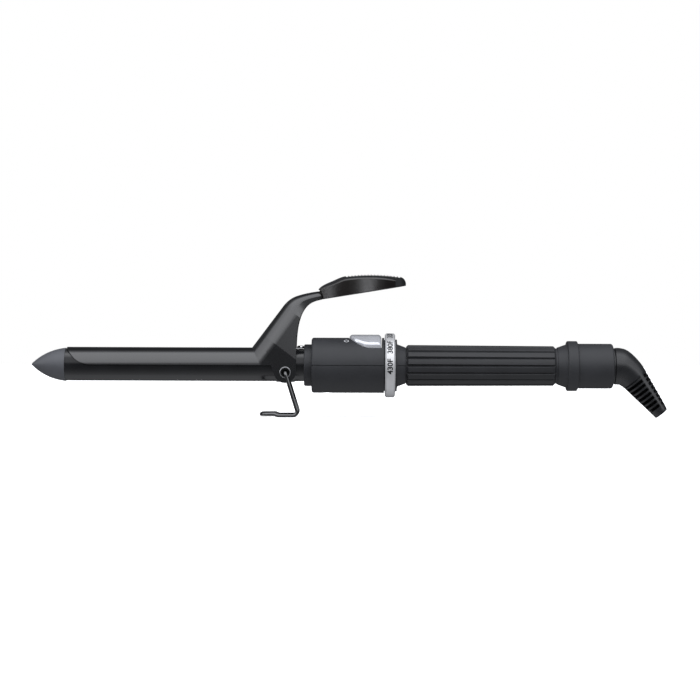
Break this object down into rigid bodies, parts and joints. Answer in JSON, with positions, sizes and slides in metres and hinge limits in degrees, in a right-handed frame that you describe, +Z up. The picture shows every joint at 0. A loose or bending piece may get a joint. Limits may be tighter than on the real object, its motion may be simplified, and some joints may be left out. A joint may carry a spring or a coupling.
{
  "type": "curling iron",
  "caption": "Curling iron with a spring clamp, wire stand, rocker switch, temperature dial, fluted grip and swivel cord outlet.",
  "frame": {"origin": "middle of the iron's length and width, on the surface that it rests on", "axes": "+X along the barrel towards the cord outlet, +Y across the iron along the hinge, +Z up; the barrel axis is 30.5 mm above the resting surface"},
  "size_m": [0.3746, 0.0378, 0.0838],
  "materials": {
    "tip_plastic": "fine matte moulding, heat resistant",
    "black_enamel": "gloss black ceramic coating",
    "clamp_enamel": "gloss black ceramic coating on sheet steel",
    "spreader_alloy": "extruded, mill finish",
    "ceramic": "white alumina ceramic plate",
    "glass_bead": "amber glass bead on wire",
    "plated_steel": "zinc plated",
    "bright_steel": "bright nickel plate",
    "spring_steel": "polished spring strip",
    "black_nickel": "black nickel plated wire",
    "gloss_black": "polished black moulding",
    "soft_black": "satin ribbed pad",
    "collar_plastic": "heat resistant black moulding",
    "soft_touch": "soft-touch dark grey coating",
    "silver_paint": "silver paint, satin",
    "dial_silver": "satin silver paint with dark numbers",
    "insulator": "moulded thermoset",
    "board": "green glass-fibre board",
    "capacitor_film": "sleeved can",
    "white_acetal": "natural acetal",
    "grip_rubber": "matte fluted rubber sleeve",
    "lead_jacket": "silicone insulation",
    "lead_glass_sleeve": "glass-fibre braid sleeve",
    "contact_brass": "stamped and turned",
    "hub_plastic": "black moulding",
    "cord_pvc": "flexible black moulding, half gloss"
  },
  "bodies": {
    "root": {"tip_cap": "tip_plastic", "barrel_tube": "black_enamel", "heat_spreader_upper": "spreader_alloy", "heat_spreader_lower": "spreader_alloy", "ceramic_heater": "ceramic", "thermistor": "glass_bead", "thermal_fuse": "plated_steel", "lead_spacer": "insulator", "hinge_bracket": "black_enamel", "pivot_eyelets": "bright_steel", "leaf_spring": "spring_steel", "spring_screw": "bright_steel", "heat_shield_collar": "collar_plastic", "housing_upper": "soft_touch", "housing_lower": "soft_touch", "housing_screws": "plated_steel", "switch_body": "insulator", "control_board": "board", "power_triac": "insulator", "filter_capacitor": "capacitor_film", "potentiometer": "insulator", "grip_sleeve": "grip_rubber", "rear_collar": "soft_touch", "rear_cap": "soft_touch", "supply_leads": "lead_jacket", "heater_leads": "lead_glass_sleeve", "contact_block": "insulator", "contact_springs": "contact_brass"},
    "clamp": {"clamp_lever": "clamp_enamel", "thumb_rest": "gloss_black", "thumb_pad": "soft_black", "thumb_screw": "plated_steel"},
    "stand": {"stand_wire": "black_nickel"},
    "rocker": {"power_rocker": "silver_paint"},
    "dial": {"temperature_dial": "dial_silver"},
    "pot_shaft": {"dial_pinion": "white_acetal"},
    "swivel": {"strain_relief": "cord_pvc", "swivel_hub": "hub_plastic", "slip_rings": "contact_brass"}
  },
  "joints": [
    {"name": "clamp_hinge", "type": "hinge", "parent": "root", "child": "clamp", "pos_m": [-0.0376, 0, 0.0263], "axis": [0, 1, 0], "range_deg": [0, 18], "stiffness_Nm_per_rad": 1.2, "springref_deg": -24.06, "deforming": ["leaf_spring"]},
    {"name": "stand_hinge", "type": "hinge", "parent": "root", "child": "stand", "pos_m": [-0.0376, 0, 0.0263], "axis": [0, 1, 0], "range_deg": [-40, 46]},
    {"name": "rocker_tilt", "type": "hinge", "parent": "root", "child": "rocker", "pos_m": [0, 0, 0.0395], "axis": [-1, 0, 0], "range_deg": [0, 6]},
    {"name": "dial_turn", "type": "hinge", "parent": "root", "child": "dial", "pos_m": [0, 0, 0.0305], "axis": [1, 0, 0], "range_deg": [-94, 54]},
    {"name": "pot_turn", "type": "hinge", "parent": "root", "child": "pot_shaft", "pos_m": [0, 0, 0.0224], "axis": [1, 0, 0], "range_deg": [-190, 110]},
    {"name": "cord_swivel", "type": "hinge", "parent": "root", "child": "swivel", "pos_m": [0.15, 0, 0.0305], "axis": [1, 0, 0], "continuous": true}
  ],
  "couplings": [
    {"joint": "pot_turn", "follows": "dial_turn", "ratio": 2}
  ]
}
